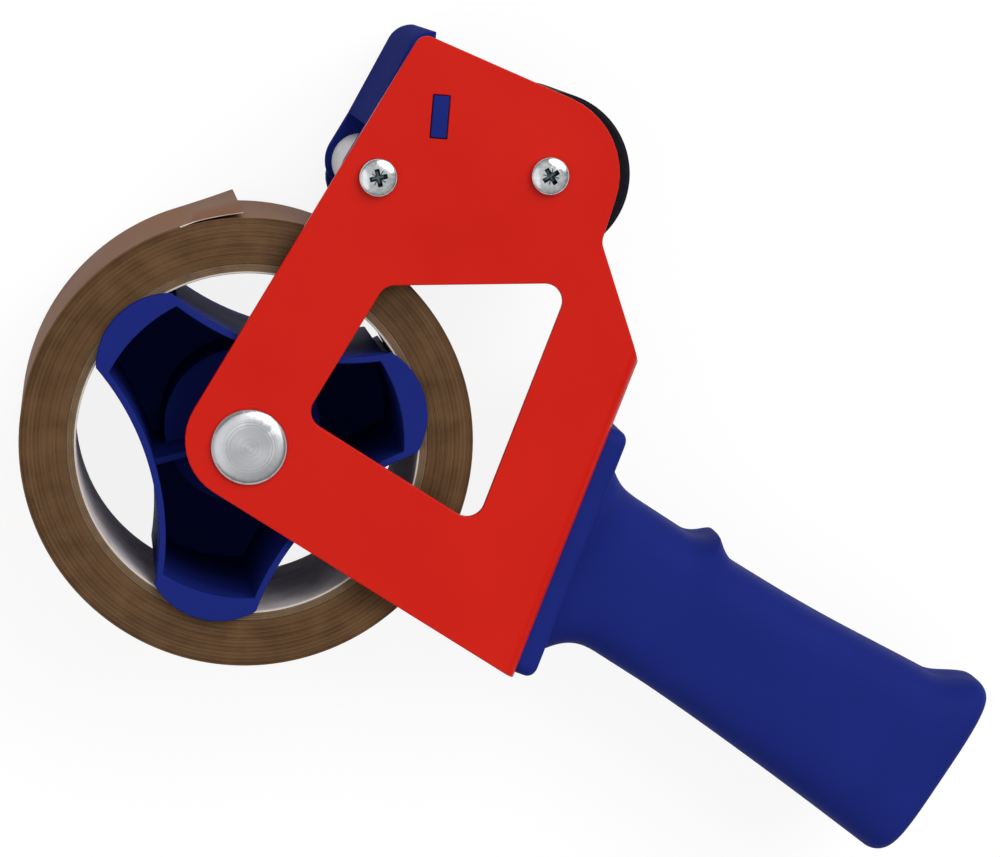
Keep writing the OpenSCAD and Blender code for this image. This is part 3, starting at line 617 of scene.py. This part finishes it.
# Core: a tube of spirally wound brown paper, lined with a pale ply. The edges of its plies show
# at the cut ends, and a fine spiral seam runs down its bore.
PAPER_BROWN = (0.165, 0.105, 0.058, 1)
PAPER_PLY = (0.095, 0.058, 0.031, 1)
PAPER_PALE = (0.56, 0.50, 0.46, 1)
PAPER_GREY = (0.82, 0.77, 0.75, 1)
PAPER_DARK = (0.64, 0.58, 0.56, 1)
SEAM_GREY = (0.42, 0.36, 0.34, 1)
PLY_MIDDLE = (0.2, 0.55)
PAPER_ROUGH = 0.8
PAPER_GLOSS = 0.2
FIBRE = 0.004
FIBRE_STRETCH = (1, 1, 0.6)
PAPER_GRAIN = 0.0008
PAPER_DEPTH = 0.00005
PLY_T = 0.00055
PLY_EDGE_SHARE = 0.22
LINING_TO = 0.03855
SEAM_PITCH = 0.085
SEAM_SHARE = 0.006
CORE_EDGE = 0.0002
CORE_MID_Z = 0.0295
CORE_CUT_Z = 0.02385


def sums(finish, operation, *values):
    """One Math node on links or plain numbers."""
    node = finish.node_tree.nodes.new("ShaderNodeMath")
    node.operation = operation
    for place, value in zip(node.inputs, values):
        if isinstance(value, (int, float)):
            place.default_value = value
        else:
            finish.node_tree.links.new(value, place)
    return node.outputs["Value"]


def overlay(finish, share, under, over):
    """The over colour laid on the under colour by a share from 0 to 1."""
    mix = finish.node_tree.nodes.new("ShaderNodeMix")
    mix.data_type = "RGBA"
    # The sockets for colours come after those for numbers and vectors
    first, second = mix.inputs[6:8]
    finish.node_tree.links.new(share, mix.inputs["Factor"])
    finish.node_tree.links.new(under, first)
    if isinstance(over, tuple):
        second.default_value = over
    else:
        finish.node_tree.links.new(over, second)
    return mix.outputs[2]


core_paper, shader = new_finish("core_paper", PAPER_ROUGH, specular=PAPER_GLOSS)
place = core_paper.node_tree.nodes.new("ShaderNodeTexCoord")
split = core_paper.node_tree.nodes.new("ShaderNodeSeparateXYZ")
core_paper.node_tree.links.new(place.outputs["Object"], split.inputs["Vector"])
across, up, along = split.outputs
turn = sums(core_paper, "DIVIDE", sums(core_paper, "ARCTAN2", up, across), 2 * math.pi)
advance = sums(core_paper, "DIVIDE", along, SEAM_PITCH)
wound = sums(core_paper, "FRACT", sums(core_paper, "ADD", turn, advance))
seam = sums(core_paper, "LESS_THAN", wound, SEAM_SHARE)
radius = sums(core_paper, "SQRT", sums(core_paper, "ADD", sums(core_paper, "POWER", across, 2.0),
                                       sums(core_paper, "POWER", up, 2.0)))
in_ply = sums(core_paper, "FRACT", sums(core_paper, "DIVIDE", radius, PLY_T))
ply_edge = sums(core_paper, "LESS_THAN", in_ply, PLY_EDGE_SHARE)
off_middle = sums(core_paper, "ABSOLUTE", sums(core_paper, "SUBTRACT", along, CORE_MID_Z))
at_end = sums(core_paper, "GREATER_THAN", off_middle, CORE_CUT_Z)
fibre = mottle(core_paper, FIBRE, 4, stretch=FIBRE_STRETCH)
bore = overlay(core_paper, seam, tint(core_paper, fibre, PAPER_DARK, PAPER_GREY), SEAM_GREY)
plies = tint(core_paper, fibre, PAPER_PLY, PAPER_BROWN, PLY_MIDDLE)
brown = overlay(core_paper, ply_edge, plies, PAPER_PLY)
cut_end = overlay(core_paper, sums(core_paper, "LESS_THAN", radius, LINING_TO), brown, PAPER_PALE)
paint(core_paper, shader, overlay(core_paper, at_end, bore, cut_end))
relief(core_paper, shader, mottle(core_paper, PAPER_GRAIN, 3), PAPER_DEPTH)
soft_edges("tape_core", CORE_EDGE)
dress("tape_core", core_paper)


# Tape: brown film wound on the core in one long spiral, so its edge is finely ringed and a
# little uneven. Its back is satin, and its free end stands off the roll along a tangent, twisted
# so that its near edge lies lower.
EDGE_BROWN = (0.142, 0.074, 0.0315, 1)
EDGE_DARK = (0.072, 0.034, 0.0125, 1)
EDGE_MIDDLE = (0.36, 0.64)
EDGE_ROUGH = (0.42, 0.6)
EDGE_GLOSS = 0.15
EDGE_RINGS = 0.0007
EDGE_CLOUD = 0.007
BACK_BROWN = (0.258, 0.124, 0.0680, 1)
BACK_DARK = (0.214, 0.100, 0.0530, 1)
BACK_GLOSS = 0.015
BACK_ROUGH = (0.44, 0.56)
BACK_CLOUD = 0.018
BACK_STRETCH = (1, 1, 0.4)
CREASES = 0.006
CREASE_STRETCH = (1, 1, 0.3)
CREASE_DEPTH = 0.00004
# The free end's edges and cut end are painted pale; along its long edges this is a painted highlight
CUT_PALE_HIGHLIGHT = (0.62, 0.54, 0.48, 1)
CUT_BROWN = (0.40, 0.31, 0.25, 1)
CUT_MIDDLE = (0.3, 0.6)
CUT_ROUGH = 0.5
CUT_GLOSS = 0.2
CUT_CLOUD = 0.004
WOUND_FROM = 0.04032
WOUND_TO = 0.0508
START_T = 0.00001
TURNS = 30
STEPS = 168
TAPE_NEAR = 0.0535
TAPE_FAR = 0.0055
EDGE_GROOVE = 0.00005
EDGE_WANDER = 0.00010
# Height, rate and start of the waves that the edge wanders by
EDGE_WAVES = ((0.5, 1.9, 0.4), (0.3, 4.3, 1.1), (0.2, 11.3, 0.0))
# Where across a layer's thickness its edge stands highest
LAYER_HIGH = (0.25, 0.75)
TAIL_LEAVES = math.radians(106.52)
TAIL_LEN = 0.01438
TAIL_STEPS = 12
TAIL_END_T = 0.00016
TAIL_CURL = 0.00035
TAIL_CLEAR = 0.0001
# Share of the free end's length over which it comes off the roll
LIFT_SHARE = 1 / 3
# Share of the free end's lift that its near edge has
NEAR_LIFT = 0.3
SAME_POINT = 1e-7

layer_t = (WOUND_TO - WOUND_FROM) / (TURNS + 1)


def wander(turn):
    """How far the tape's edge lies in from the roll's face, by the number of turns wound."""
    wave = sum(high * math.sin(rate * turn + start) for high, rate, start in EDGE_WAVES)
    return EDGE_WANDER * (1 + wave) / 2


def wound_radius(turn):
    """The radius after a number of turns; the first layer starts a hair lower, at its cut end."""
    return WOUND_FROM + turn * (layer_t if turn > 0 else START_T)


def edge_row(step, sign, face):
    """Points across the roll's edge at one step: a groove, two high points, a groove and so on."""
    share = step / STEPS
    row = []
    for k in range(TURNS + 2):
        turn = k - 1 + share
        low = max(wander(turn), wander(turn - 1)) + EDGE_GROOVE
        first = wound_radius(turn)
        row.append((first, face - sign * low))
        if k <= TURNS:
            last = wound_radius(turn + 1)
            for inside in LAYER_HIGH:
                row.append((first + inside * (last - first), face - sign * wander(turn)))
    angle = TAIL_LEAVES - 2 * math.pi * share
    return [(r * math.cos(angle), r * math.sin(angle), z) for r, z in row]


def wound_tape():
    """The roll and its free end as one closed mesh, with the back in material 1 and cut edges in 2."""
    mesh = bmesh.new()
    sides = []
    for sign, face in ((1, TAPE_NEAR), (-1, TAPE_FAR)):
        rows = [[mesh.verts.new(p) for p in edge_row(step, sign, face)] for step in range(STEPS)]
        end = [mesh.verts.new(p) for p in edge_row(STEPS, sign, face)[-3:]]
        # After one round each layer meets the next one out, and the last goes on as the free end
        rows.append(rows[0][3:] + end)
        for low, high in zip(rows, rows[1:]):
            for a, b, c, d in zip(low, low[1:], high[1:], high):
                mesh.faces.new((a, b, c, d))
        sides.append(rows)
    near, far = sides
    out = Vector((math.cos(TAIL_LEAVES), math.sin(TAIL_LEAVES), 0))
    way = Vector((out.y, -out.x, 0))
    strips = [[rows[-1][-4:] for rows in sides]]
    for step in range(1, TAIL_STEPS + 1):
        share = step / TAIL_STEPS
        lifting = smooth_step(share / LIFT_SHARE)
        thick = layer_t + (TAIL_END_T - layer_t) * lifting
        straight = (WOUND_TO - thick + TAIL_CURL * share ** 2) * out + share * TAIL_LEN * way
        angle = TAIL_LEAVES - share * TAIL_LEN / WOUND_TO
        on_roll = Vector((math.cos(angle), math.sin(angle), 0))
        on_roll *= WOUND_TO - thick + (thick + TAIL_CLEAR) * lifting
        section = []
        for rows, lifted in zip(sides, (NEAR_LIFT, 1)):
            foot = on_roll.lerp(straight, lifted)
            edge = [v.co.z for v in rows[-1][-4:]]
            section.append([mesh.verts.new(foot + high * thick * out + Vector((0, 0, z)))
                            for high, z in zip((0, *LAYER_HIGH, 1), edge)])
        strips.append(section)
    for low, high in zip(strips, strips[1:]):
        for side in (0, 1):
            for i in range(3):
                corners = (low[side][i], low[side][i + 1], high[side][i + 1], high[side][i])
                mesh.faces.new(corners).material_index = 2
        for i in (0, 3):
            mesh.faces.new((low[0][i], low[1][i], high[1][i], high[0][i])).material_index = 1
    mesh.faces.new(strips[-1][0] + strips[-1][1][::-1]).material_index = 2
    mesh.faces.new(near[0][:4] + far[0][3::-1]).material_index = 2
    for i in range(STEPS):
        mesh.faces.new((near[i][0], near[i + 1][0], far[i + 1][0], far[i][0]))
        mesh.faces.new((near[i][-1], far[i][-1], far[i + 1][-1], near[i + 1][-1])).material_index = 1
    bmesh.ops.remove_doubles(mesh, verts=mesh.verts, dist=SAME_POINT)
    bmesh.ops.recalc_face_normals(mesh, faces=mesh.faces)
    return mesh


def average(finish, first, second):
    """Two patterns mixed half and half."""
    mix = finish.node_tree.nodes.new("ShaderNodeMix")
    mix.inputs["Factor"].default_value = 0.5
    finish.node_tree.links.new(first, mix.inputs["A"])
    finish.node_tree.links.new(second, mix.inputs["B"])
    return mix.outputs["Result"]


tape_edge, shader = new_finish("tape_edge", 0.5, specular=EDGE_GLOSS)
layers = average(tape_edge, rings(tape_edge, EDGE_RINGS), mottle(tape_edge, EDGE_CLOUD, 3))
paint(tape_edge, shader, tint(tape_edge, layers, EDGE_DARK, EDGE_BROWN, EDGE_MIDDLE))
roughen(tape_edge, shader, layers, *EDGE_ROUGH)

tape_back, shader = new_finish("tape_back", 0.5, specular=BACK_GLOSS)
cloud = mottle(tape_back, BACK_CLOUD, 2, stretch=BACK_STRETCH)
paint(tape_back, shader, tint(tape_back, cloud, BACK_DARK, BACK_BROWN))
roughen(tape_back, shader, cloud, *BACK_ROUGH)
relief(tape_back, shader, mottle(tape_back, CREASES, 1, stretch=CREASE_STRETCH), CREASE_DEPTH)

# Pale finish for the free end's edges and cut end, a painted highlight along its long edges
tape_cut_highlight, shader = new_finish("tape_cut_highlight", CUT_ROUGH, specular=CUT_GLOSS)
cloud = mottle(tape_cut_highlight, CUT_CLOUD, 3)
paint(tape_cut_highlight, shader, tint(tape_cut_highlight, cloud, CUT_BROWN, CUT_PALE_HIGHLIGHT, CUT_MIDDLE))

tape = piece_from(wound_tape(), "wound_tape", tape_edge)
tape.data.materials.append(tape_back)
tape.data.materials.append(tape_cut_highlight)
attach(tape, "spool")
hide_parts("tape_roll")


# Brake: steel washers, a spring wound from round wire on the bolt, and the moulded knob that
# sets how hard the spring presses on the hub. The real spring is squeezed as the knob travels;
# here it is drawn at one length and stays where it is.
WASHER_EDGE = 0.0001
KNOB_EDGE = 0.0004
SPRING_LOW = 0.0128
SPRING_HIGH = 0.0224
SPRING_R = 0.0062
WIRE_R = 0.0007
SPRING_TURNS = 3
WIRE_SIDES = 12
STEPS_PER_TURN = 40


def wire_ring(share):
    """One ring of the spring's wire; the turns lie flatter at both ends."""
    angle = 2 * math.pi * SPRING_TURNS * share
    out = Vector((math.cos(angle), math.sin(angle), 0))
    up = Vector((0, 0, 1))
    rise = (SPRING_HIGH - SPRING_LOW - 2 * WIRE_R) * (share + smooth_step(share)) / 2
    middle = SPRING_R * out + (SPRING_LOW + WIRE_R + rise) * up
    turns = [2 * math.pi * i / WIRE_SIDES for i in range(WIRE_SIDES)]
    return [middle + WIRE_R * (math.cos(t) * out + math.sin(t) * up) for t in turns]


for node in ("pressure_washer", "spring_washer"):
    soft_edges(node, WASHER_EDGE)
    dress(node, turned_zinc)
last = SPRING_TURNS * STEPS_PER_TURN
spring = piece_from(skin([wire_ring(i / last) for i in range(last + 1)]), "wound_spring", turned_zinc)
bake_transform(spring)
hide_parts("brake_spring")
soft_edges("tension_knob", KNOB_EDGE)
dress("tension_knob", blue_plastic)


# Head: the far cheek is moulded in one with the web that carries the blade and with the tab
# that shows in the plate's slot. Two steel axles stand between the cheek and the plate.
CHEEK_EDGE = 0.0003

soft_edges("head_cheek", CHEEK_EDGE)
dress("head_cheek", blue_plastic)
for node in ("guide_axle", "roller_axle"):
    dress(node, turned_zinc)


# Blade: a strip of spring steel with teeth ground along its upper edge, so that grinding marks
# run up it. Two screws hold it on the web.
STEEL_PALE = (0.62, 0.63, 0.65, 1)
STEEL_GREY = (0.45, 0.46, 0.48, 1)
STEEL_ROUGH = 0.3
GRINDING = 0.0008
GRINDING_STRETCH = (1, 0.05, 1)

blade_steel, shader = new_finish("blade_steel", STEEL_ROUGH, metallic=1.0)
grinding = mottle(blade_steel, GRINDING, 2, stretch=GRINDING_STRETCH)
paint(blade_steel, shader, tint(blade_steel, grinding, STEEL_GREY, STEEL_PALE))
dress("blade", blade_steel)


# Guide roller: a pale moulded tube that turns on the guide axle between the guard's ears and
# leads the tape to the blade.
PALE_PLASTIC = (0.70, 0.70, 0.73, 1)
PALE_SHADE = (0.62, 0.62, 0.66, 1)
PALE_ROUGH = 0.45
PALE_CLOUD = 0.008
ROLLER_EDGE = 0.0003

pale_plastic, shader = new_finish("pale_plastic", PALE_ROUGH)
cloud = mottle(pale_plastic, PALE_CLOUD, 2)
paint(pale_plastic, shader, tint(pale_plastic, cloud, PALE_SHADE, PALE_PLASTIC))
soft_edges("guide_roller", ROLLER_EDGE)
dress("guide_roller", pale_plastic)


# Pressure roller: a dark moulded spool with a ground black rubber tyre, which presses the
# tape on the box.
RUBBER_BLACK = (0.0050, 0.0056, 0.0095, 1)
RUBBER_WORN = (0.0085, 0.0092, 0.0140, 1)
RUBBER_MIDDLE = (0.3, 0.75)
RUBBER_ROUGH = 0.8
RUBBER_GLOSS = 0.1
RUBBER_CLOUD = 0.0012
RUBBER_GRAIN = 0.0005
RUBBER_DEPTH = 0.00003

black_rubber, shader = new_finish("black_rubber", RUBBER_ROUGH, specular=RUBBER_GLOSS)
ground = mottle(black_rubber, RUBBER_CLOUD, 3)
paint(black_rubber, shader, tint(black_rubber, ground, RUBBER_BLACK, RUBBER_WORN, RUBBER_MIDDLE))
relief(black_rubber, shader, mottle(black_rubber, RUBBER_GRAIN, 2), RUBBER_DEPTH)
dress("roller_sleeve", black_rubber)
dress("roller_core", black_rubber)


# Blade guard: a blue moulded flap with two ears on the guide axle, duller than the handle. Its
# rounded nose covers the teeth at rest.
GUARD_EDGE = 0.0002
GUARD_GLOSS = 0.002

soft_edges("blade_guard", GUARD_EDGE)
dress("blade_guard", moulded_blue("guard_plastic", GUARD_GLOSS))


# Table: a plain pale surface under the dispenser, which lies on its far side, seen as white. Far
# off all round it turns up into a low wall.
TABLE_PALE = (0.60, 0.60, 0.60, 1)
TABLE_ROUGH = 0.9
# Share of the table's look that is plain white, and how bright that is; the rest takes the shadow
TABLE_GLOW = 0.75
GLOW_STRENGTH = 1.16
TABLE_REACH = 8.0
TABLE_GAP = 0.0002
WALL_H = 2.0

table_white, shader = new_finish("table_white", TABLE_ROUGH, specular=0.0)
shader.inputs["Base Color"].default_value = TABLE_PALE
tree = table_white.node_tree
seen = tree.nodes.new("ShaderNodeLightPath").outputs
glow = tree.nodes.new("ShaderNodeEmission")
glow.inputs["Strength"].default_value = GLOW_STRENGTH
blend = tree.nodes.new("ShaderNodeMixShader")
mirrored = sums(table_white, "MAXIMUM", seen["Is Glossy Ray"], seen["Is Transmission Ray"])
straight = sums(table_white, "MAXIMUM", seen["Is Camera Ray"], mirrored)
tree.links.new(sums(table_white, "MULTIPLY", straight, TABLE_GLOW), blend.inputs["Fac"])
tree.links.new(shader.outputs["BSDF"], blend.inputs[1])
tree.links.new(glow.outputs["Emission"], blend.inputs[2])
tree.links.new(blend.outputs["Shader"], tree.nodes["Material Output"].inputs["Surface"])
level = cad_box[0].z - TABLE_GAP
table = lathe([(TABLE_REACH, level + WALL_H), (TABLE_REACH, level), (0, level)])
piece_from(table, "table", table_white)


# Light: a pale room, brightest overhead, with one wide soft lamp over the head and a weaker one
# by the roll. Each lamp has the place that it shines from, its strength and its width in degrees.
ROOM_OVERHEAD = 0.75
ROOM_SIDES = 0.15
LAMPS = [
    ("lamp_over_head", (0.65, 0.75, 0.95), 2.05, 50),
    ("lamp_by_roll", (-0.8, -0.2, 0.9), 0.45, 60),
]

room = bpy.data.worlds.new("room")
room.use_nodes = True
ways = room.node_tree.nodes.new("ShaderNodeTexCoord")
split = room.node_tree.nodes.new("ShaderNodeSeparateXYZ")
room.node_tree.links.new(ways.outputs["Generated"], split.inputs["Vector"])
height = sums(room, "POWER", sums(room, "MAXIMUM", split.outputs["Z"], 0.0), 2.0)
bright = sums(room, "MULTIPLY_ADD", height, ROOM_OVERHEAD - ROOM_SIDES, ROOM_SIDES)
backdrop = room.node_tree.nodes["Background"]
room.node_tree.links.new(bright, backdrop.inputs["Strength"])
backdrop.inputs["Color"].default_value = (1, 1, 1, 1)
bpy.context.scene.world = room
for name, stands, strength, width in LAMPS:
    lamp = bpy.data.lights.new(name, "SUN")
    lamp.energy = strength
    lamp.angle = math.radians(width)
    holder = bpy.data.objects.new(name, lamp)
    holder.rotation_euler = Vector(stands).to_track_quat("Z", "Y").to_euler()
    bpy.context.scene.collection.objects.link(holder)


# Camera: almost square on to the side plate, a little from the left and from above the head,
# with a long lens.
CAMERA_AT = (-0.0354, 0.1165, 0.8199)
CAMERA_YAW = math.radians(6.85)
CAMERA_PITCH = math.radians(8.41)
# In widths of the sensor
FOCAL_LENGTH = 3.4682
SENSOR = 36.0

lens = bpy.data.cameras.new("camera")
lens.sensor_fit = "HORIZONTAL"
lens.sensor_width = SENSOR
lens.lens = FOCAL_LENGTH * SENSOR
camera = bpy.data.objects.new("camera", lens)
turn = Matrix.Rotation(CAMERA_PITCH, 3, "X") @ Matrix.Rotation(CAMERA_YAW, 3, "Y")
camera.matrix_world = Matrix.Translation(CAMERA_AT) @ turn.transposed().to_4x4()
bpy.context.scene.collection.objects.link(camera)
bpy.context.scene.camera = camera
bpy.context.scene.view_settings.view_transform = "Standard"
